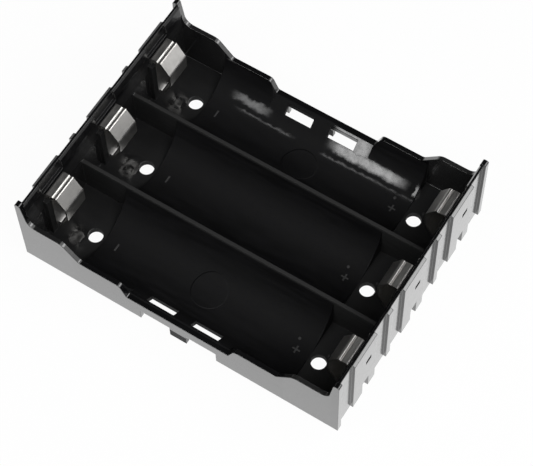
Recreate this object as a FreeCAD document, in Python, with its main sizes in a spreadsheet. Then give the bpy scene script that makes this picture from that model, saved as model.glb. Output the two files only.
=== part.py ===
import FreeCAD, Part
import math
import os
import Sketcher

# Holder for three cylindrical cells side by side, for soldering to a board.
# X runs along the cells, Y across them, Z up from the underside of the housing.

SIZES = {
    # Outer size of the housing
    "overall_length": 78.0,
    "overall_width": 60.0,
    "overall_height": 21.5,
    # Bays, their half-round cradles and the hollows under them
    "divider_thickness": 0.8,
    "end_pocket_length": 11.35,
    "floor_thickness": 1.6,
    "skin_thickness": 1.2,
    "divider_rise": 0.2,
    "base_strip_width": 9.0,
    "middle_rib": 1.2,
    # Long walls, whose top edge steps down to the middle
    "side_wall": 1.0,
    "waist_height": 6.3,
    "waist_length": 25.2,
    "waist_bend": 0.5,
    "ledge_start": 2.6,
    "ledge_rise": 2.5,
    "step_height": 9.75,
    "step_rise_run": 1.5,
    "step_bend": 1.2,
    "shoulder_height": 14.1,
    "shoulder_rise_run": 4.1,
    "shoulder_length": 8.3,
    "shoulder_bend": 2.4,
    "post_foot": 2.4,
    "post_top_length": 1.3,
    "post_bend": 0.5,
    # End walls with proud panels, ribs and corner flanges
    "end_wall": 1.2,
    "end_wall_drop": 1.1,
    "panel_proud": 0.65,
    "panel_width": 8.6,
    "rib_width": 1.6,
    "flange_width": 1.3,
    "panel_slope": 0.4,
    "rim_bevel": 0.7,
    "rim_bevel_height": 1.0,
    "recess_width": 7.4,
    "recess_height": 3.2,
    # Openings in the long walls and beside them
    "foot_cut_length": 18.8,
    "foot_cut_height": 3.3,
    "foot_tab_length": 4.1,
    "slot_inner": 4.2,
    "slot_outer": 17.8,
    "slot_width": 2.0,
    "slot_edge_gap": 1.9,
    # Screw holes, one at each end of each bay
    "screw_hole_radius": 1.7,
    "screw_setback": 9.05,
    # Spring contacts, each folded from one strip
    "strip_thickness": 0.4,
    "strip_width": 6.3,
    "strip_bend": 0.6,
    "contact_top": 16.8,
    "contact_reach": 5.15,
    "crest_length": 2.6,
    "crease_place": 1.95,
    "crease_width": 0.7,
    "crease_depth": 0.35,
    "crease_bend": 0.2,
    "nose_drop": 3.4,
    "nose_straight": 3.8,
    "nose_bend": 1.4,
    "heel_height": 5.0,
    "heel_back": 2.2,
    "pin_root_width": 2.4,
    "pin_width": 1.3,
    "pin_length": 3.5,
    "pin_taper": 0.8,
    # Guides that hold each contact, its catch and the way out for its pin
    "guide_height": 14.6,
    "guide_lip": 0.45,
    "guide_wall": 0.9,
    "guide_front": 0.6,
    "fit_clearance": 0.1,
    "window_width": 2.0,
    "window_low": 12.7,
    "window_height": 1.4,
    "window_offset": 1.3,
    "catch_width": 1.4,
    "catch_proud": 0.5,
    "catch_clearance": 0.15,
    "pin_slot_front": 0.5,
    "notch_width": 2.3,
    "notch_height": 4.6,
    "notch_offset": 0.5,
}


class Length:
    """A number together with the sheet formula that gives it."""

    def __init__(self, value, formula):
        self.value = value
        self.formula = formula

    def combined(self, sign, other, value):
        return Length(value, "(%s %s %s)" % (self.formula, sign, formula_of(other)))

    def __add__(self, other):
        return self.combined("+", other, self.value + number_of(other))

    def __sub__(self, other):
        return self.combined("-", other, self.value - number_of(other))

    def __mul__(self, other):
        return self.combined("*", other, self.value * number_of(other))

    def __truediv__(self, other):
        return self.combined("/", other, self.value / number_of(other))

    def __neg__(self):
        return Length(-self.value, "(0 - %s)" % self.formula)


def number_of(item):
    return item.value if isinstance(item, Length) else float(item)


def formula_of(item):
    return item.formula if isinstance(item, Length) else str(float(item))


def square_root(item):
    return Length(math.sqrt(item.value), "sqrt(%s)" % item.formula)


document = FreeCAD.newDocument("CellHolder")
sheet = document.addObject("Spreadsheet::Sheet", "Sizes")
for row, (alias, number) in enumerate(SIZES.items(), start=1):
    sheet.set("A%d" % row, alias)
    sheet.set("B%d" % row, str(number))
    sheet.setAlias("B%d" % row, alias)
document.recompute()
size = {alias: Length(sheet.get(alias), "Sizes." + alias) for alias in SIZES}

BAYS = (-1, 0, 1)
TINY = 1e-6
SIDES = (-1, 1)
ZERO = Length(0.0, "0")

half_length = size["overall_length"] / 2
half_width = size["overall_width"] / 2
side_inner = half_width - size["side_wall"]
flange_inner = half_width - size["flange_width"]
bay_pitch = (side_inner * 2 + size["divider_thickness"]) / len(BAYS)
cradle_radius = (bay_pitch - size["divider_thickness"]) / 2
cradle_axis = size["floor_thickness"] + cradle_radius
divider_top = cradle_axis + size["divider_rise"]
end_wall_top = size["overall_height"] - size["end_wall_drop"]
clear_above = size["overall_height"] + size["skin_thickness"]
waist_end = size["waist_length"] / 2
shoulder_end = half_length - size["post_foot"]
shoulder_start = shoulder_end - size["shoulder_length"]
end_face = half_length - size["panel_proud"]
end_inner = end_face - size["end_wall"]
cradle_end = end_inner - size["end_pocket_length"]
plate_front = end_inner - size["strip_thickness"]


def bay_centre(bay):
    return bay_pitch * bay


def around(centre, width):
    """The span of a width about its centre."""
    return (centre - width / 2, centre + width / 2)


def mirrored(side, low, high):
    """A span on the plus side, or its mirror image on the minus side."""
    if side > 0:
        return (low, high)
    return (-high, -low)


def bind(thing, name, length):
    """Tie one property of an object to a length's formula."""
    thing.setExpression(name, formula_of(length))


def new_sketch(body, name, role, offset=None):
    plane = next(item for item in body.Origin.OriginFeatures if item.Role == role)
    sketch = body.newObject("Sketcher::SketchObject", name)
    sketch.AttachmentSupport = [(plane, "")]
    sketch.MapMode = "FlatFace"
    if offset is not None:
        bind(sketch, "AttachmentOffset.Base.z", offset)
    return sketch


def fix_distance(sketch, kind, geometry, point, length):
    rule = Sketcher.Constraint(kind, -1, 1, geometry, point, number_of(length))
    bind(sketch, "Constraints[%d]" % sketch.addConstraint(rule), length)


def fix_point(sketch, geometry, point, across, up):
    """Hold a point of the sketch at two lengths from the sketch's origin."""
    fix_distance(sketch, "DistanceX", geometry, point, across)
    fix_distance(sketch, "DistanceY", geometry, point, up)


def fix_radius(sketch, geometry, radius):
    rule = Sketcher.Constraint("Radius", geometry, number_of(radius))
    bind(sketch, "Constraints[%d]" % sketch.addConstraint(rule), radius)


def spot(across, up):
    return FreeCAD.Vector(number_of(across), number_of(up), 0)


def add_outline(sketch, corners, rounds=None):
    """A closed outline through the corners, with an arc where rounds gives its centre and radius.

    The key of rounds is the number of the corner that the arc starts from."""
    rounds = rounds or {}
    places = [spot(x, y) for x, y in corners]
    runs = []
    for index, start in enumerate(places):
        end = places[(index + 1) % len(places)]
        if index in rounds:
            centre, radius = rounds[index]
            towards = ((start + end) * 0.5 - spot(*centre)).normalize()
            halfway = spot(*centre) + towards * number_of(radius)
            run = sketch.addGeometry(Part.Arc(start, halfway, end), False)
            fix_radius(sketch, run, radius)
        else:
            run = sketch.addGeometry(Part.LineSegment(start, end), False)
        runs.append(run)
    for index, run in enumerate(runs):
        ends = [1, 2]
        if sketch.getPoint(run, 1).distanceToPoint(places[index]) > TINY:
            ends = [2, 1]
        following = runs[(index + 1) % len(runs)]
        place = places[(index + 1) % len(places)]
        joined = 1 if sketch.getPoint(following, 1).distanceToPoint(place) < TINY else 2
        sketch.addConstraint(Sketcher.Constraint("Coincident", run, ends[1], following, joined))
        fix_point(sketch, run, ends[0], *corners[index])


def add_rectangle(sketch, across, up):
    corners = [(across[0], up[0]), (across[1], up[0]), (across[1], up[1]), (across[0], up[1])]
    add_outline(sketch, corners)


def add_bent_path(sketch, corners, closed):
    """Straight runs through the corners, which a bend of the given radius rounds.

    A corner is (across, up, radius), and a radius of None leaves it sharp."""
    places = [spot(x, y) for x, y, radius in corners]
    count = len(corners)
    starts = list(places)
    ends = list(places)
    arcs = {}
    for index, (x, y, radius) in enumerate(corners):
        if radius is None:
            continue
        before = (places[index - 1] - places[index]).normalize()
        after = (places[(index + 1) % count] - places[index]).normalize()
        half_angle = before.getAngle(after) / 2
        reach = number_of(radius) / math.tan(half_angle)
        ends[index] = places[index] + before * reach
        starts[index] = places[index] + after * reach
        inward = (before + after).normalize()
        to_centre = number_of(radius) / math.sin(half_angle)
        halfway = places[index] + inward * (to_centre - number_of(radius))
        arcs[index] = Part.Arc(ends[index], halfway, starts[index])
    lines = []
    for index in range(count if closed else count - 1):
        run = Part.LineSegment(starts[index], ends[(index + 1) % count])
        lines.append(sketch.addGeometry(run, False))
    for index, (x, y, radius) in enumerate(corners):
        if radius is not None:
            add_bend(sketch, lines[index - 1], lines[index], arcs[index], corners[index], ends[index])
        elif closed or index < count - 1:
            fix_point(sketch, lines[index], 1, x, y)
            if closed:
                sketch.addConstraint(Sketcher.Constraint("Coincident", lines[index - 1], 2, lines[index], 1))
        else:
            fix_point(sketch, lines[-1], 2, x, y)


def add_bend(sketch, line_in, line_out, shape, corner, entry):
    """An arc tangent to two lines, which both aim at the corner's place."""
    mark = sketch.addGeometry(Part.Point(spot(corner[0], corner[1])), True)
    fix_point(sketch, mark, 1, corner[0], corner[1])
    for line in (line_in, line_out):
        sketch.addConstraint(Sketcher.Constraint("PointOnObject", mark, 1, line))
    arc = sketch.addGeometry(shape, False)
    near, far = (1, 2) if sketch.getPoint(arc, 1).distanceToPoint(entry) < TINY else (2, 1)
    sketch.addConstraint(Sketcher.Constraint("Tangent", line_in, 2, arc, near))
    sketch.addConstraint(Sketcher.Constraint("Tangent", line_out, 1, arc, far))
    fix_radius(sketch, arc, corner[2])


def pad(body, name, sketch, length, both_ways=False):
    feature = body.newObject("PartDesign::Pad", name)
    feature.Profile = sketch
    if both_ways:
        feature.SideType = "Symmetric"
    bind(feature, "Length", length)
    return feature


def pocket(body, name, sketch, length, both_ways=False, along_normal=False):
    """Cut a sketch away, against its plane's normal unless told otherwise."""
    feature = body.newObject("PartDesign::Pocket", name)
    feature.Profile = sketch
    if both_ways:
        feature.SideType = "Symmetric"
    feature.Reversed = along_normal
    bind(feature, "Length", length)
    return feature


def shape_envelope(body):
    """The side view of the tray, as wide as the whole part, and a level core for the dividers."""
    half = [
        (waist_end, size["waist_height"], size["waist_bend"]),
        (waist_end + size["step_rise_run"], size["step_height"], size["step_bend"]),
        (shoulder_start - size["shoulder_rise_run"], size["step_height"], size["step_bend"]),
        (shoulder_start, size["shoulder_height"], size["shoulder_bend"]),
        (shoulder_end, size["shoulder_height"], size["shoulder_bend"]),
        (half_length - size["post_top_length"], size["overall_height"], size["post_bend"]),
        (half_length, size["overall_height"], size["post_bend"]),
        (half_length, ZERO, None),
    ]
    corners = half + [(-x, z, bend) for x, z, bend in reversed(half)]
    sketch = new_sketch(body, "SideView", "XZ_Plane")
    add_bent_path(sketch, corners, True)
    pad(body, "Envelope", sketch, size["overall_width"], both_ways=True)

    sketch = new_sketch(body, "CoreView", "YZ_Plane")
    add_rectangle(sketch, (-bay_pitch, bay_pitch), (ZERO, divider_top))
    pad(body, "DividerCore", sketch, end_inner * 2, both_ways=True)


def cut_bays(body):
    """The open top, the half-round cradles, the pockets at their ends and the sloping waist ledges."""
    sketch = new_sketch(body, "TopView", "YZ_Plane")
    add_rectangle(sketch, (-side_inner, side_inner), (divider_top, clear_above))
    pocket(body, "OpenTop", sketch, end_inner * 2, both_ways=True)

    sketch = new_sketch(body, "EndWallTopView", "YZ_Plane")
    add_rectangle(sketch, (-flange_inner, flange_inner), (end_wall_top, clear_above))
    pocket(body, "EndWallTop", sketch, size["overall_length"], both_ways=True)

    sketch = new_sketch(body, "CradleView", "YZ_Plane")
    for bay in BAYS:
        add_cradle(sketch, bay_centre(bay))
    pocket(body, "Cradles", sketch, cradle_end * 2, both_ways=True)

    sketch = new_sketch(body, "EndPocketView", "XY_Plane", divider_top)
    for side in SIDES:
        for bay in BAYS:
            across = around(bay_centre(bay), cradle_radius * 2)
            add_rectangle(sketch, mirrored(side, cradle_end, end_inner), across)
    pocket(body, "EndPockets", sketch, divider_top - size["floor_thickness"])

    drop = cradle_radius - size["ledge_start"]
    start = bay_pitch + square_root(cradle_radius * cradle_radius - drop * drop)
    sketch = new_sketch(body, "LedgeView", "YZ_Plane")
    for edge in SIDES:
        corners = [
            (start * edge, cradle_axis - drop),
            (side_inner * edge, cradle_axis - drop + size["ledge_rise"]),
            (side_inner * edge, divider_top),
            (start * edge, divider_top),
        ]
        add_outline(sketch, corners)
    pocket(body, "Ledges", sketch, waist_end * 2, both_ways=True)


def add_cradle(sketch, centre):
    """Upright sides joined by a half round below them."""
    low, high = around(centre, cradle_radius * 2)
    places = [spot(low, divider_top), spot(low, cradle_axis), spot(high, cradle_axis), spot(high, divider_top)]
    lowest = spot(centre, size["floor_thickness"])
    left = sketch.addGeometry(Part.LineSegment(places[0], places[1]), False)
    half_round = sketch.addGeometry(Part.Arc(places[1], lowest, places[2]), False)
    right = sketch.addGeometry(Part.LineSegment(places[2], places[3]), False)
    top = sketch.addGeometry(Part.LineSegment(places[3], places[0]), False)
    near = 1 if sketch.getPoint(half_round, 1).distanceToPoint(places[1]) < TINY else 2
    joins = [(left, 2, half_round, near), (half_round, 3 - near, right, 1), (right, 2, top, 1), (top, 2, left, 1)]
    for join in joins:
        sketch.addConstraint(Sketcher.Constraint("Coincident", *join))
    fix_point(sketch, left, 1, low, divider_top)
    fix_point(sketch, right, 2, high, divider_top)
    fix_point(sketch, half_round, 3, centre, cradle_axis)
    fix_radius(sketch, half_round, cradle_radius)
    fix_distance(sketch, "DistanceY", half_round, 1, cradle_axis)
    fix_distance(sketch, "DistanceY", half_round, 2, cradle_axis)


def cut_underside(body):
    """Hollows that leave the cradles as skins of even thickness, with one rib across the middle."""
    outer_radius = cradle_radius + size["skin_thickness"]
    half_strip = size["base_strip_width"] / 2
    half_pitch = bay_pitch / 2
    strip_rise = cradle_axis - square_root(outer_radius * outer_radius - half_strip * half_strip)
    cusp_rise = cradle_axis - square_root(outer_radius * outer_radius - half_pitch * half_pitch)
    roof = size["waist_height"] - size["skin_thickness"]
    drop = cradle_axis - roof
    roof_reach = square_root(outer_radius * outer_radius - drop * drop)
    for side in SIDES:
        start = size["middle_rib"] / 2
        sketch = new_sketch(body, "HollowView" + end_name(side), "YZ_Plane", start * side)
        for bay in BAYS[:-1]:
            left = bay_centre(bay)
            right = bay_centre(bay + 1)
            corners = [
                (left + half_strip, ZERO),
                (left + half_strip, strip_rise),
                (left + half_pitch, cusp_rise),
                (right - half_strip, strip_rise),
                (right - half_strip, ZERO),
            ]
            rounds = {1: ((left, cradle_axis), outer_radius), 2: ((right, cradle_axis), outer_radius)}
            add_outline(sketch, corners, rounds)
        for edge in SIDES:
            centre = bay_centre(edge)
            corners = [
                (centre + half_strip * edge, ZERO),
                (centre + half_strip * edge, strip_rise),
                (centre + roof_reach * edge, roof),
                (side_inner * edge, roof),
                (side_inner * edge, ZERO),
            ]
            add_outline(sketch, corners, {1: ((centre, cradle_axis), outer_radius)})
        depth = cradle_end - size["skin_thickness"] - start
        pocket(body, "Hollows" + end_name(side), sketch, depth, along_normal=side > 0)


def shape_end_walls(body):
    """Proud panels, ribs and corner flanges outside, a bevelled rim and recesses inside."""
    half_panel = size["panel_width"] / 2
    half_rib = size["rib_width"] / 2
    rib_place = bay_pitch / 2
    gaps = [
        (half_panel, rib_place - half_rib),
        (rib_place + half_rib, bay_pitch - half_panel),
        (bay_pitch + half_panel, flange_inner),
    ]
    sketch = new_sketch(body, "PanelGapView", "XY_Plane")
    for side in SIDES:
        for edge in SIDES:
            for low, high in gaps:
                beyond = half_length + size["panel_proud"]
                add_rectangle(sketch, mirrored(side, end_face, beyond), mirrored(edge, low, high))
    pocket(body, "PanelGaps", sketch, clear_above, along_normal=True)

    sketch = new_sketch(body, "PanelTopView", "XZ_Plane")
    for side in SIDES:
        corners = [
            (end_face * side, end_wall_top),
            (half_length * side, end_wall_top - size["panel_slope"]),
            (half_length * side, clear_above),
            (end_face * side, clear_above),
        ]
        add_outline(sketch, corners)
    pocket(body, "PanelTops", sketch, flange_inner * 2, both_ways=True)

    sketch = new_sketch(body, "RimView", "XZ_Plane")
    for side in SIDES:
        corners = [
            (end_inner * side, end_wall_top - size["rim_bevel_height"]),
            ((end_inner + size["rim_bevel"]) * side, end_wall_top),
            (end_inner * side, end_wall_top),
        ]
        add_outline(sketch, corners)
    pocket(body, "RimBevel", sketch, side_inner * 2, both_ways=True)


def end_name(side):
    return "Plus" if side > 0 else "Minus"


def cut_end_openings(body):
    """Catch windows and pin notches through the end walls, and recesses above the contacts."""
    through = size["panel_proud"] + size["end_wall"]
    for side in SIDES:
        outside = half_length * side
        sketch = new_sketch(body, "WindowView" + end_name(side), "YZ_Plane", outside)
        for bay in BAYS:
            window = bay_centre(bay) + size["window_offset"] * side
            window_top = size["window_low"] + size["window_height"]
            add_rectangle(sketch, around(window, size["window_width"]), (size["window_low"], window_top))
            notch = bay_centre(bay) + size["notch_offset"] * side
            add_rectangle(sketch, around(notch, size["notch_width"]), (ZERO, size["notch_height"]))
        pocket(body, "Windows" + end_name(side), sketch, through, along_normal=side < 0)

        sketch = new_sketch(body, "RecessView" + end_name(side), "YZ_Plane", end_inner * side)
        for bay in BAYS:
            low = end_wall_top - size["recess_height"]
            across = around(bay_centre(bay), size["recess_width"])
            add_rectangle(sketch, across, (low, end_wall_top))
        pocket(body, "Recesses" + end_name(side), sketch, size["panel_proud"], along_normal=side > 0)


def cut_side_openings(body):
    """Low cuts in the feet of the long walls and slots through the cradles beside them."""
    sketch = new_sketch(body, "FootView", "XY_Plane")
    for side in SIDES:
        for edge in SIDES:
            along = mirrored(side, size["foot_tab_length"] / 2, size["foot_cut_length"] / 2)
            add_rectangle(sketch, along, mirrored(edge, side_inner, half_width))
    pocket(body, "FootCuts", sketch, size["foot_cut_height"], along_normal=True)

    sketch = new_sketch(body, "SlotView", "XY_Plane")
    slot_edge = half_width - size["slot_edge_gap"]
    for side in SIDES:
        for edge in SIDES:
            along = mirrored(side, size["slot_inner"] / 2, size["slot_outer"] / 2)
            add_rectangle(sketch, along, mirrored(edge, slot_edge - size["slot_width"], slot_edge))
    pocket(body, "Slots", sketch, cradle_axis, along_normal=True)


def cut_floor(body):
    """A screw hole and a pin slot at each end of each bay."""
    sketch = new_sketch(body, "ScrewView", "XY_Plane")
    for side in SIDES:
        for bay in BAYS:
            place = ((end_inner - size["screw_setback"]) * side, bay_centre(bay))
            circle = Part.Circle(spot(*place), FreeCAD.Vector(0, 0, 1), number_of(size["screw_hole_radius"]))
            hole = sketch.addGeometry(circle, False)
            fix_point(sketch, hole, 3, *place)
            fix_radius(sketch, hole, size["screw_hole_radius"])
            slot_front = plate_front - size["pin_slot_front"]
            slot_width = size["pin_root_width"] + size["fit_clearance"] * 2
            add_rectangle(sketch, mirrored(side, slot_front, end_inner), around(place[1], slot_width))
    pocket(body, "FloorHoles", sketch, size["floor_thickness"], along_normal=True)


def add_guides(body):
    """Two upright guides to each contact, whose lips lap over the edges of its back plate."""
    slot = size["strip_width"] / 2 + size["fit_clearance"]
    lip = size["strip_width"] / 2 - size["guide_lip"]
    outer = slot + size["guide_wall"]
    behind_lip = plate_front - size["fit_clearance"]
    front = behind_lip - size["guide_front"]
    sketch = new_sketch(body, "GuideView", "XY_Plane", size["floor_thickness"])
    for side in SIDES:
        for bay in BAYS:
            for edge in SIDES:
                guide = [
                    (end_inner, slot),
                    (end_inner, outer),
                    (front, outer),
                    (front, lip),
                    (behind_lip, lip),
                    (behind_lip, slot),
                ]
                corners = [(x * side, bay_centre(bay) + y * edge) for x, y in guide]
                add_outline(sketch, corners)
    pad(body, "Guides", sketch, size["guide_height"] - size["floor_thickness"])


def build_housing():
    body = document.addObject("PartDesign::Body", "Housing")
    body.Label = "housing"
    shape_envelope(body)
    cut_bays(body)
    cut_underside(body)
    shape_end_walls(body)
    cut_side_openings(body)
    cut_floor(body)
    add_guides(body)
    cut_end_openings(body)
    return body


def build_contact(label, side, bay):
    """One strip: a pin, a back plate with a lanced catch, a creased crest and a sprung nose."""
    body = document.addObject("PartDesign::Body", "Contact")
    body.Label = label
    body.Placement.Rotation = FreeCAD.Rotation(FreeCAD.Vector(0, 0, 1), 0 if side > 0 else 180)
    bind(body, "Placement.Base.y", bay_centre(bay))

    middle = size["strip_thickness"] / 2
    plate = end_inner - middle
    crest = size["contact_top"] - middle
    crease = plate - size["crease_place"]
    nose = end_inner - size["contact_reach"] + middle
    nose_top = crest - size["nose_drop"]
    corners = [
        (plate, size["floor_thickness"], None),
        (plate, crest, size["strip_bend"]),
        (crease + size["crease_width"] / 2, crest, size["crease_bend"]),
        (crease, crest - size["crease_depth"], size["crease_bend"]),
        (crease - size["crease_width"] / 2, crest, size["crease_bend"]),
        (plate - size["crest_length"], crest, size["crease_bend"]),
        (nose, nose_top, size["nose_bend"]),
        (nose, nose_top - size["nose_straight"], size["nose_bend"]),
        (nose + size["heel_back"], size["heel_height"], None),
    ]
    path = new_sketch(body, "FoldedPath", "XZ_Plane")
    add_bent_path(path, corners, False)
    section = new_sketch(body, "StripSection", "XY_Plane", size["floor_thickness"])
    add_rectangle(section, (plate_front, end_inner), around(ZERO, size["strip_width"]))
    document.recompute()
    strip = body.newObject("PartDesign::AdditivePipe", "Strip")
    strip.Profile = section
    strip.Spine = path
    document.recompute()

    half_root = size["pin_root_width"] / 2
    half_pin = size["pin_width"] / 2
    half_pin_outline = [
        (half_root, size["floor_thickness"] + size["strip_thickness"]),
        (half_root, size["strip_thickness"]),
        (half_pin, ZERO),
        (half_pin, size["pin_taper"] - size["pin_length"]),
        (half_pin / 2, -size["pin_length"]),
    ]
    outline = half_pin_outline + [(-y, z) for y, z in reversed(half_pin_outline)]
    sketch = new_sketch(body, "PinView", "YZ_Plane", plate_front)
    add_outline(sketch, outline)
    pad(body, "Pin", sketch, size["strip_thickness"])

    catch = size["window_offset"]
    low = size["window_low"] + size["catch_clearance"]
    high = size["window_low"] + size["window_height"] - size["catch_clearance"]
    sketch = new_sketch(body, "LanceView", "YZ_Plane", end_inner)
    width = size["catch_width"] + size["fit_clearance"] * 2
    add_rectangle(sketch, around(catch, width), (low, high + size["strip_thickness"]))
    pocket(body, "Lance", sketch, size["strip_thickness"])
    tip = end_inner + size["catch_proud"]
    catch_outline = [
        (plate_front, low - size["strip_thickness"]),
        (end_inner, low - size["strip_thickness"]),
        (end_inner, low),
        (tip, high),
        (tip - size["strip_thickness"], high),
        (plate_front, low),
    ]
    sketch = new_sketch(body, "CatchView", "XZ_Plane", -catch)
    add_outline(sketch, catch_outline)
    pad(body, "Catch", sketch, size["catch_width"], both_ways=True)
    return body


def write_parts(parts):
    """Check every object, then write each sub-part under its own name."""
    document.recompute()
    for item in document.Objects:
        if "Invalid" in item.State or "Error" in item.State:
            raise RuntimeError("%s failed: %s" % (item.Label, item.State))
        if item.TypeId == "PartDesign::Pocket" and item.Shape.Volume > item.BaseFeature.Shape.Volume - TINY:
            raise RuntimeError(item.Label + " cuts nothing")
    for part in parts:
        if part.Shape.isNull() or not part.Shape.isValid():
            raise RuntimeError(part.Label + " has no valid shape")
        if len(part.Shape.Solids) != 1:
            raise RuntimeError(part.Label + " is not one solid")
    os.makedirs("parts", exist_ok=True)
    for part in parts:
        part.Shape.exportStep("parts/%s.step" % part.Label)


parts = [build_housing()]
for side in SIDES:
    for bay in BAYS:
        label = "contact_%s_%d" % ("left" if side < 0 else "right", bay + 2)
        parts.append(build_contact(label, side, bay))
write_parts(parts)
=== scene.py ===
import math

import bpy
from mathutils import Matrix, Vector


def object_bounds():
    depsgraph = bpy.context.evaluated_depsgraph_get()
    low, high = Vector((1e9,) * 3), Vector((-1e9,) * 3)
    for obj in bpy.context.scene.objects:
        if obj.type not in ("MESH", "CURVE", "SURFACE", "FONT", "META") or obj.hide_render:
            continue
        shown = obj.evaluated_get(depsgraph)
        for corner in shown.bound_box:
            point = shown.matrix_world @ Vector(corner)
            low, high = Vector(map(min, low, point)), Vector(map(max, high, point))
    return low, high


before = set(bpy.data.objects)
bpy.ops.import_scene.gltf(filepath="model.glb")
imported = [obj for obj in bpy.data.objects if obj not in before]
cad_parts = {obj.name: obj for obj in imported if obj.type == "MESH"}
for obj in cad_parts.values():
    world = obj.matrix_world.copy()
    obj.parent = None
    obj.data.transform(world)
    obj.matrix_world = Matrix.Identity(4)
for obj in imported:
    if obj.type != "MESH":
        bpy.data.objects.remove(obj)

MM = 0.001
CAD_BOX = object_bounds()

# Camera fitted to the photograph, which is 533 by 466 pixels
PHOTO_WIDTH = 533
PHOTO_HEIGHT = 466
FOCAL_PIXELS = 1914.15
CENTRE_ACROSS = 295.684
CENTRE_DOWN = 194.279
CAMERA_PLACE = Vector((109.167, -156.855, 366.842)) * MM
CAMERA_TURN = Vector((2.555, 0.727, -0.190))
SENSOR_WIDTH = 36.0
CLIP_START = 0.01
CLIP_END = 10.0

# Moulding marks on the bay floors, in millimetres
BAY_PITCH = 19.6
SIGN_ACROSS = 22.6
SIGN_SIZE = 1.8
SIGN_STROKE = 0.4
SIGN_EDGE = 0.1
SIGN_TOP = 3.0
SIGN_RELIEF = 0.15
PIPS_ACROSS = (22.0, 29.2)
PIP_ALONG = 2.4
PIP_RADIUS = 0.35
EJECTOR_RADIUS = 4.0
EJECTOR_ALONG = 18.0
EJECTOR_EDGE = 0.3
EJECTOR_RELIEF = 0.15

# Areas of the moulding in millimetres, from and to: ACROSS is X, ALONG is Y and UP is Z.
# A REACH goes equally far to both sides of the middle.
SHARP = 0.1
FLOOR_LEVEL = 1.4
BAYS_REACH = 28.9
CRADLE_REACH = 25.7
CRADLE_TOP = 10.8
POCKET_REACH = 37.1
POCKET_TOP = 16.0
LEFT_RIM_ACROSS = (-38.2, -36.5)
LEFT_RIM_UP = (12.0, 22.0)
TAB_REACH = 2.05
TAB_UP = (-0.5, 2.6)
HOLES_REACH_ACROSS = 35.0
HOLES_REACH_ALONG = 25.0
HOLES_UP = (-1.0, 1.57)
DIVIDER_REACH = 0.9
DIVIDER_UP = (10.5, 11.6)
# End pockets whose floors get painted light, which lifts their shade
LEFT_POCKET_LIGHT_ACROSS = (-37.2, -25.9)
RIGHT_POCKET_LIGHT_ACROSS = (25.9, 37.2)
FLOW_ACROSS = (-33.5, -29.0)
FLOW_ALONG = (-4.0, 0.4)
FLOW_TOP = 2.6
FLOW_SOFTNESS = 3.0

# Satin shares of the areas beside the cradles, which are satin all over
POCKET_SATIN = 0.95
LEFT_RIM_SATIN = 0.6
TAB_SATIN = 0.9

# Polished runs on the far cradle: from, to and softness in millimetres,
# first along X and then along Y, and how strong the polish is
POLISHED_RUNS = {
    "left run": ((-20.5, -12.8, 4.0), (24.4, 25.8, 0.9), 0.47),
    "right run": ((4.5, 21.5, 5.0), (24.3, 26.2, 1.0), 1.0),
    "ledge by the slot": ((3.5, 12.6, 2.0), (26.0, 30.0, 0.4), 1.0),
    "thin line, left": ((-19.0, -5.5, 3.0), (22.5, 23.1, 0.6), 0.5),
    "thin line, right": ((3.0, 25.8, 2.0), (22.5, 23.1, 0.6), 0.5),
    "cradle's right rim": ((25.2, 26.5, 0.3), (24.0, 26.6, 0.5), 0.8),
}

# Spacing and height of the plastic's unevenness, in millimetres
PEEL_SPACING = 0.9
PEEL_HEIGHT = 0.006
SWELL_SPACING = 5.0
SWELL_HEIGHT = 0.012
FLOW_SPACING = 2.2
FLOW_HEIGHT = 0.5
STREAK_SPACING = 1.2
STREAK_STRETCH = (0.15, 1.0, 1.0)
DUST_SPACING = 0.5
RAGGED_SPACING = 1.8
RAGGED_SHIFT = 0.4
PATCHY_SPACING = 1.3
EDGE_ROUNDING = 0.2
BEVEL_SAMPLES = 8

# Finish of the plastic
PLASTIC_DARK = (0.0015, 0.0015, 0.0018, 1)
PLASTIC_LIGHT = (0.0035, 0.0035, 0.004, 1)
# Painted highlight: a lighter grey on the raised signs and pips, standing in for glints on them
PLASTIC_PAINTED_GLINT = (0.06, 0.06, 0.06, 1)
# Painted light: a lighter grey on the end pockets' floors, and a painted highlight on the divider
# tops
PLASTIC_PAINTED_LIGHT = (0.022, 0.022, 0.022, 1)
PLASTIC_IOR = 1.28
COAT_IOR = 1.7
COAT_ROUGHNESS = 0.12
DUST_ROUGHNESS = 0.12
SATIN_ROUGHNESS = 0.55
# How strongly the painted light lifts the left and right pocket floors
LEFT_POCKET_LIGHT = 0.45
RIGHT_POCKET_LIGHT = 0.75

# Finish of the contacts. Spacings and heights are in millimetres.
NICKEL_BRIGHT = (0.68, 0.67, 0.65, 1)
NICKEL_DULL = (0.56, 0.55, 0.53, 1)
WRINKLE_SPACING = 3.2
WRINKLE_HEIGHT = 0.008
WRINKLE_STRETCH = (1.0, 0.6, 1.0)
LINE_SPACING = 0.7
LINE_HEIGHT = 0.0002
LINE_STRETCH = (0.4, 6.0, 0.4)
LINE_ROUGHNESS = 0.06
SMUDGE_SPACING = 1.8

# Floor and world. Brightness 1 is white.
WHITE = (1, 1, 1, 1)
PAPER = (0.9, 0.9, 0.9, 1)
FLOOR_SIZE = 6.0
FLOOR_OWN_WHITE = 0.96
CEILING = 0.03

# Softboxes: azimuth, elevation, width and height in degrees, then brightness
LAMP_DISTANCE = 0.6
SOFTBOXES = {
    "key": (-22, 46, 16, 28, 4.8),
    "strip": (-45, 68, 8, 10, 3.0),
    "fill": (90, 42, 70, 72, 1.2),
    "front": (50, 52, 42, 42, 2.6),
    "rim": (119, 38, 18, 18, 4.0),
}


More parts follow.
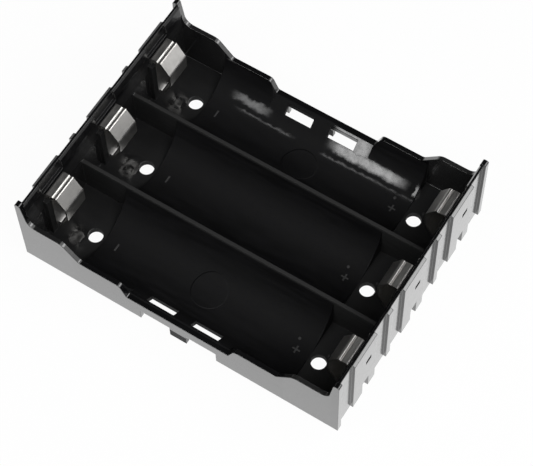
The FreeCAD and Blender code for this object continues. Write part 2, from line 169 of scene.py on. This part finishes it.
class Nodes:
    """Adds nodes to one node tree. Sizes and places are in millimetres of the part's frame."""

    def __init__(self, tree):
        self.tree = tree
        tree.nodes.clear()

    def add(self, kind, inputs=None, **settings):
        node = self.tree.nodes.new(kind)
        for name, value in settings.items():
            setattr(node, name, value)
        for name, value in (inputs or {}).items():
            self.fill(node.inputs[name], value)
        return node

    def fill(self, socket, value):
        """Links the socket to another, or sets its number, vector or colour."""
        if isinstance(value, bpy.types.NodeSocket):
            self.tree.links.new(value, socket)
        else:
            socket.default_value = value

    def math(self, operation, first, second=0.0, third=0.0):
        inputs = {0: first, 1: second, 2: third}
        return self.add("ShaderNodeMath", inputs, operation=operation).outputs[0]

    def chain(self, operation, values):
        result = values[0]
        for value in values[1:]:
            result = self.math(operation, result, value)
        return result

    def total(self, *values):
        return self.chain("ADD", values)

    def product(self, *values):
        return self.chain("MULTIPLY", values)

    def most(self, *values):
        return self.chain("MAXIMUM", values)

    def ramp(self, value, low, high, start=0.0, end=1.0):
        """start below low, end above high and a smooth run between them."""
        inputs = {"Value": value, "From Min": low, "From Max": high, "To Min": start, "To Max": end}
        node = self.add("ShaderNodeMapRange", inputs, interpolation_type="SMOOTHSTEP")
        return node.outputs["Result"]

    def window(self, value, low, high, soft=SHARP):
        """1 between low and high, 0 outside, with edges as wide as soft."""
        rise = self.ramp(value, low - soft / 2, low + soft / 2)
        fall = self.ramp(value, high - soft / 2, high + soft / 2, 1.0, 0.0)
        return self.product(rise, fall)

    def reach(self, value, distance, soft=SHARP):
        """1 as far as that distance to both sides of 0, and 0 beyond."""
        return self.window(value, -distance, distance, soft)

    def place(self):
        """The point on the part, in millimetres."""
        point = self.add("ShaderNodeTexCoord").outputs["Object"]
        inputs = {0: point, "Scale": 1 / MM}
        return self.add("ShaderNodeVectorMath", inputs, operation="SCALE").outputs[0]

    def split(self, vector):
        return self.add("ShaderNodeSeparateXYZ", {0: vector}).outputs

    def stretch(self, vector, factors):
        inputs = {0: vector, 1: factors}
        return self.add("ShaderNodeVectorMath", inputs, operation="MULTIPLY").outputs[0]

    def noise(self, vector, spacing, detail=2.0, roughness=0.5):
        inputs = {"Vector": vector, "Scale": 1 / spacing, "Detail": detail, "Roughness": roughness}
        return self.add("ShaderNodeTexNoise", inputs).outputs["Fac"]

    def blend(self, share, first, second):
        """Colour first where share is 0 and second where it is 1."""
        node = self.add("ShaderNodeMix", data_type="RGBA")
        factor, colour_a, colour_b = node.inputs[0], node.inputs[6], node.inputs[7]
        for socket, value in ((factor, share), (colour_a, first), (colour_b, second)):
            self.fill(socket, value)
        return node.outputs[2]

    def bump(self, height, normal=None):
        """The surface normal, tilted by a height in millimetres."""
        inputs = {"Height": height, "Distance": MM, "Strength": 1.0}
        if normal is not None:
            inputs["Normal"] = normal
        return self.add("ShaderNodeBump", inputs).outputs["Normal"]

    def background_rays(self):
        """1 for rays that show the background: from the camera, from gloss and through glass."""
        path = self.add("ShaderNodeLightPath").outputs
        return self.most(path["Is Camera Ray"], path["Is Glossy Ray"], path["Is Transmission Ray"])


def new_material(name):
    material = bpy.data.materials.new(name)
    material.use_nodes = True
    return material, Nodes(material.node_tree)


def rounded_normal(nodes, radius):
    """The surface normal, turned near sharp edges as if they were rounded by that radius."""
    bevel = nodes.add("ShaderNodeBevel", {"Radius": radius * MM}, samples=BEVEL_SAMPLES)
    return bevel.outputs["Normal"]


def centred(nodes, along):
    """The distance across the bay from its middle line, the same in all three bays."""
    return nodes.math("WRAP", along, BAY_PITCH / 2, -BAY_PITCH / 2)


def moulded_marks(nodes, across, along):
    """1 on the plus, minus and pips at the bays' ends, and 1 within the round ejector marks."""
    from_centre = centred(nodes, along)
    half, stroke = SIGN_SIZE / 2, SIGN_STROKE / 2

    def bar(centre, half_across, half_along):
        first = nodes.window(across, centre - half_across, centre + half_across, SIGN_EDGE)
        return nodes.product(first, nodes.reach(from_centre, half_along, SIGN_EDGE))

    def disc(centre_across, offset, radius, edge):
        beside = nodes.math("SUBTRACT", across, centre_across)
        square = nodes.total(nodes.product(beside, beside), nodes.product(offset, offset))
        distance = nodes.math("SQRT", square)
        return nodes.ramp(distance, radius - edge / 2, radius + edge / 2, 1.0, 0.0)

    plus = [bar(SIGN_ACROSS, half, stroke), bar(SIGN_ACROSS, stroke, half)]
    minus = [bar(-SIGN_ACROSS, stroke, half)]
    pip_offset = nodes.math("SUBTRACT", from_centre, PIP_ALONG)
    pips = [disc(centre, pip_offset, PIP_RADIUS, SIGN_EDGE * 2) for centre in PIPS_ACROSS]
    ejector_offset = nodes.math("SUBTRACT", nodes.math("ABSOLUTE", along), EJECTOR_ALONG)
    ejector = disc(0.0, ejector_offset, EJECTOR_RADIUS, EJECTOR_EDGE)
    return nodes.most(*plus, *minus, *pips), ejector


def flow_marks(nodes, across, along, up):
    """1 on the uneven, polished floor between each left contact and its screw hole."""
    return nodes.product(
        nodes.window(across, *FLOW_ACROSS, FLOW_SOFTNESS),
        nodes.window(centred(nodes, along), *FLOW_ALONG, FLOW_SOFTNESS),
        nodes.window(up, FLOOR_LEVEL, FLOW_TOP),
    )


def divider_tops(nodes, across, along, up):
    """1 on the tops of the dividers between the bays."""
    beside = nodes.math("SUBTRACT", nodes.math("ABSOLUTE", along), BAY_PITCH / 2)
    return nodes.product(
        nodes.reach(beside, DIVIDER_REACH, soft=0.3),
        nodes.window(up, *DIVIDER_UP, soft=0.4),
        nodes.reach(across, POCKET_REACH),
    )


def polished_runs(nodes, place):
    """The share of polish on the ragged, patchy runs along the far cradle."""
    across, along, _ = nodes.split(place)
    ragged = nodes.noise(place, RAGGED_SPACING, detail=3.0, roughness=0.6)
    shift = nodes.ramp(ragged, low=0.2, high=0.8, start=-RAGGED_SHIFT, end=RAGGED_SHIFT)
    across, along = nodes.total(across, shift), nodes.total(along, shift)
    runs = [
        nodes.product(nodes.window(across, *x_reach), nodes.window(along, *y_reach), strength)
        for x_reach, y_reach, strength in POLISHED_RUNS.values()
    ]
    patches = nodes.noise(place, PATCHY_SPACING, detail=3.0, roughness=0.6)
    patchy = nodes.ramp(patches, low=0.35, high=0.65, start=0.75, end=1.0)
    return nodes.product(nodes.most(*runs), patchy)


def satin_share(nodes, place, marks):
    """How satin the moulding is: 1 on the cradles, less beside them, 0 outside and on polish."""
    across, along, up = nodes.split(place)
    within = nodes.reach(along, BAYS_REACH)
    cradles = nodes.product(
        nodes.reach(across, CRADLE_REACH),
        within,
        nodes.window(up, FLOOR_LEVEL, CRADLE_TOP, soft=0.2),
    )
    pockets = nodes.product(
        nodes.reach(across, POCKET_REACH),
        within,
        nodes.window(up, FLOOR_LEVEL, POCKET_TOP, soft=0.2),
        POCKET_SATIN,
    )
    left_rim = nodes.product(
        nodes.window(across, *LEFT_RIM_ACROSS),
        within,
        nodes.window(up, *LEFT_RIM_UP, soft=1.0),
        LEFT_RIM_SATIN,
    )
    tabs = nodes.product(
        nodes.reach(across, TAB_REACH),
        nodes.window(up, *TAB_UP, soft=0.4),
        nodes.ramp(nodes.math("ABSOLUTE", along), BAYS_REACH, BAYS_REACH + SHARP),
        TAB_SATIN,
    )
    hole_walls = nodes.product(
        nodes.reach(across, HOLES_REACH_ACROSS),
        nodes.reach(along, HOLES_REACH_ALONG),
        nodes.window(up, *HOLES_UP, soft=0.02),
    )
    tops = divider_tops(nodes, across, along, up)
    satin = nodes.most(cradles, pockets, left_rim, tabs, hole_walls, tops)
    polish = nodes.most(polished_runs(nodes, place), marks)
    return nodes.product(satin, nodes.math("SUBTRACT", 1.0, polish))


def plastic_colour(nodes, place, streaks, dust, raised):
    """Black with faint streaks, a painted highlight on the raised signs and pips, and painted light
    on the divider tops and the end pockets' floors.
    """
    across, along, up = nodes.split(place)
    colour = nodes.blend(nodes.ramp(streaks, low=0.3, high=0.7), PLASTIC_DARK, PLASTIC_LIGHT)
    # Painted highlight on the raised signs and pips, patchy with the dust noise
    glint = nodes.product(raised, nodes.ramp(dust, low=0.0, high=1.0, start=0.7, end=1.0))
    colour = nodes.blend(glint, colour, PLASTIC_PAINTED_GLINT)
    # Painted light: the end pocket floors and the divider tops are blended toward a lighter grey,
    # in place of light the lamps don't give there
    left_ends = nodes.product(nodes.window(across, *LEFT_POCKET_LIGHT_ACROSS, soft=0.2), LEFT_POCKET_LIGHT)
    right_ends = nodes.product(nodes.window(across, *RIGHT_POCKET_LIGHT_ACROSS, soft=0.2), RIGHT_POCKET_LIGHT)
    pocket_floors = nodes.window(up, FLOOR_LEVEL, POCKET_TOP, soft=2.0)
    lifted = nodes.product(nodes.most(left_ends, right_ends), pocket_floors)
    tops = divider_tops(nodes, across, along, up)
    return nodes.blend(nodes.most(lifted, tops), colour, PLASTIC_PAINTED_LIGHT)


def add_plastic():
    """Black moulded plastic, glossy outside and satin inside, with a slight orange peel."""
    material, nodes = new_material("gloss_black_plastic")
    place = nodes.place()
    across, along, up = nodes.split(place)
    streaks = nodes.noise(nodes.stretch(place, STREAK_STRETCH), STREAK_SPACING, detail=3.0)
    dust = nodes.ramp(nodes.noise(place, DUST_SPACING), low=0.62, high=0.72)
    marks = flow_marks(nodes, across, along, up)
    satin = satin_share(nodes, place, marks)
    raised, ejector = moulded_marks(nodes, across, along)
    raised = nodes.product(raised, nodes.window(up, FLOOR_LEVEL, SIGN_TOP))
    height = nodes.total(
        nodes.product(nodes.noise(place, PEEL_SPACING, detail=3.0), PEEL_HEIGHT),
        nodes.product(nodes.noise(place, SWELL_SPACING), SWELL_HEIGHT),
        nodes.product(raised, SIGN_RELIEF),
        nodes.product(ejector, EJECTOR_RELIEF),
        nodes.product(marks, nodes.noise(place, FLOW_SPACING, detail=0.5), FLOW_HEIGHT),
    )
    normal = nodes.bump(height, rounded_normal(nodes, EDGE_ROUNDING))
    roughness = nodes.total(
        nodes.ramp(streaks, low=0.3, high=0.75, start=0.10, end=0.22),
        nodes.product(dust, DUST_ROUGHNESS),
        nodes.product(satin, SATIN_ROUGHNESS),
    )
    shader = nodes.add(
        "ShaderNodeBsdfPrincipled",
        {
            "Base Color": plastic_colour(nodes, place, streaks, dust, raised),
            "Roughness": roughness,
            "IOR": PLASTIC_IOR,
            "Normal": normal,
            "Coat Weight": nodes.math("SUBTRACT", 1.0, satin),
            "Coat Roughness": COAT_ROUGHNESS,
            "Coat IOR": COAT_IOR,
            "Coat Normal": normal,
        },
    )
    nodes.add("ShaderNodeOutputMaterial", {"Surface": shader.outputs[0]})
    return material


def add_metal():
    """Bright nickel plate on pressed strip: fine drawing lines, slight wrinkles and smudges."""
    material, nodes = new_material("bright_nickel")
    place = nodes.place()
    wrinkles = nodes.noise(nodes.stretch(place, WRINKLE_STRETCH), WRINKLE_SPACING, detail=1.0)
    lines = nodes.noise(nodes.stretch(place, LINE_STRETCH), LINE_SPACING, detail=3.0)
    smudges = nodes.noise(place, SMUDGE_SPACING, detail=3.0)
    height = nodes.total(
        nodes.product(wrinkles, WRINKLE_HEIGHT),
        nodes.product(lines, LINE_HEIGHT),
    )
    roughness = nodes.total(
        nodes.ramp(smudges, low=0.35, high=0.7, start=0.28, end=0.36),
        nodes.product(lines, LINE_ROUGHNESS),
    )
    dulled = nodes.ramp(smudges, low=0.3, high=0.75)
    shader = nodes.add(
        "ShaderNodeBsdfPrincipled",
        {
            "Base Color": nodes.blend(dulled, NICKEL_BRIGHT, NICKEL_DULL),
            "Metallic": 1.0,
            "Roughness": roughness,
            "Normal": nodes.bump(height),
        },
    )
    nodes.add("ShaderNodeOutputMaterial", {"Surface": shader.outputs[0]})
    return material


def add_floor():
    """A white floor: rays that show it see mostly its own white, and the rest keeps the shadow.

    For gloss the white fades away from the part, by distances in millimetres.
    """
    bpy.ops.mesh.primitive_plane_add(size=FLOOR_SIZE, location=(0, 0, CAD_BOX[0][2]))
    floor = bpy.context.object
    floor.name = "floor"
    material, nodes = new_material("pale_floor")
    paper = nodes.add("ShaderNodeBsdfDiffuse", {"Color": PAPER}).outputs[0]
    away = nodes.add("ShaderNodeVectorMath", {0: nodes.place()}, operation="LENGTH")
    faded = nodes.ramp(away.outputs["Value"], low=90.0, high=350.0, start=0.0, end=0.7)
    glossy = nodes.add("ShaderNodeLightPath").outputs["Is Glossy Ray"]
    brightness = nodes.math("SUBTRACT", 1.0, nodes.product(faded, glossy))
    white = nodes.add("ShaderNodeEmission", {"Color": WHITE, "Strength": brightness}).outputs[0]
    share = nodes.product(nodes.background_rays(), FLOOR_OWN_WHITE)
    mixed = nodes.add("ShaderNodeMixShader", {0: share, 1: paper, 2: white}).outputs[0]
    nodes.add("ShaderNodeOutputMaterial", {"Surface": mixed})
    floor.data.materials.append(material)


def add_world():
    """A studio with a pale backdrop low down and a dark ceiling, and white for the camera."""
    world = bpy.data.worlds.new("studio")
    bpy.context.scene.world = world
    world.use_nodes = True
    nodes = Nodes(world.node_tree)
    direction = nodes.add("ShaderNodeTexCoord").outputs["Generated"]
    _, _, up = nodes.split(direction)
    light = nodes.ramp(up, low=0.0, high=0.25, start=0.5, end=CEILING)
    backdrop = nodes.ramp(up, low=0.0, high=0.2, start=0.8, end=CEILING)
    shown = nodes.product(nodes.background_rays(), backdrop)
    camera = nodes.add("ShaderNodeLightPath").outputs["Is Camera Ray"]
    brightness = nodes.most(light, shown, camera)
    sky = nodes.add("ShaderNodeBackground", {"Color": WHITE, "Strength": brightness}).outputs[0]
    nodes.add("ShaderNodeOutputWorld", {"Surface": sky})


def toward(azimuth, elevation):
    """Unit vector to a place seen from the part: azimuth 0 is -Y and 90 is +X."""
    turn, rise = math.radians(azimuth), math.radians(elevation)
    level = math.cos(rise)
    return Vector((math.sin(turn) * level, -math.cos(turn) * level, math.sin(rise)))


def add_softbox(name, azimuth, elevation, width, height, brightness):
    """A rectangular lamp facing the part. Width and height are in degrees as the part sees them."""
    data = bpy.data.lights.new(name, "AREA")
    data.shape = "RECTANGLE"
    data.size = 2 * LAMP_DISTANCE * math.tan(math.radians(width / 2))
    data.size_y = 2 * LAMP_DISTANCE * math.tan(math.radians(height / 2))
    data.energy = brightness * math.pi * data.size * data.size_y
    lamp = bpy.data.objects.new(name, data)
    lamp.visible_camera = False
    bpy.context.scene.collection.objects.link(lamp)
    direction = toward(azimuth, elevation)
    lamp.location = direction * LAMP_DISTANCE
    lamp.rotation_euler = direction.to_track_quat("Z", "Y").to_euler()


def add_camera():
    """A camera at the photograph's place. Its turn is a rotation vector from part to camera."""
    data = bpy.data.cameras.new("camera")
    data.sensor_width = SENSOR_WIDTH
    data.lens = FOCAL_PIXELS / PHOTO_WIDTH * SENSOR_WIDTH
    data.shift_x = (PHOTO_WIDTH / 2 - CENTRE_ACROSS) / PHOTO_WIDTH
    data.shift_y = (CENTRE_DOWN - PHOTO_HEIGHT / 2) / PHOTO_WIDTH
    data.clip_start = CLIP_START
    data.clip_end = CLIP_END
    camera = bpy.data.objects.new("camera", data)
    bpy.context.scene.collection.objects.link(camera)
    turn = Matrix.Rotation(CAMERA_TURN.length, 3, CAMERA_TURN.normalized())
    # The fit looks down its own Z with Y down; Blender's camera looks down -Z with Y up
    flip = Matrix.Diagonal((1, -1, -1))
    camera.matrix_world = Matrix.Translation(CAMERA_PLACE) @ (flip @ turn).transposed().to_4x4()
    bpy.context.scene.camera = camera


bpy.context.scene.view_settings.view_transform = "Standard"
add_camera()
add_floor()
add_world()
for name, settings in SOFTBOXES.items():
    add_softbox(name, *settings)
plastic = add_plastic()
metal = add_metal()
for name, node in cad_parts.items():
    node.data.materials.clear()
    node.data.materials.append(plastic if name == "housing" else metal)
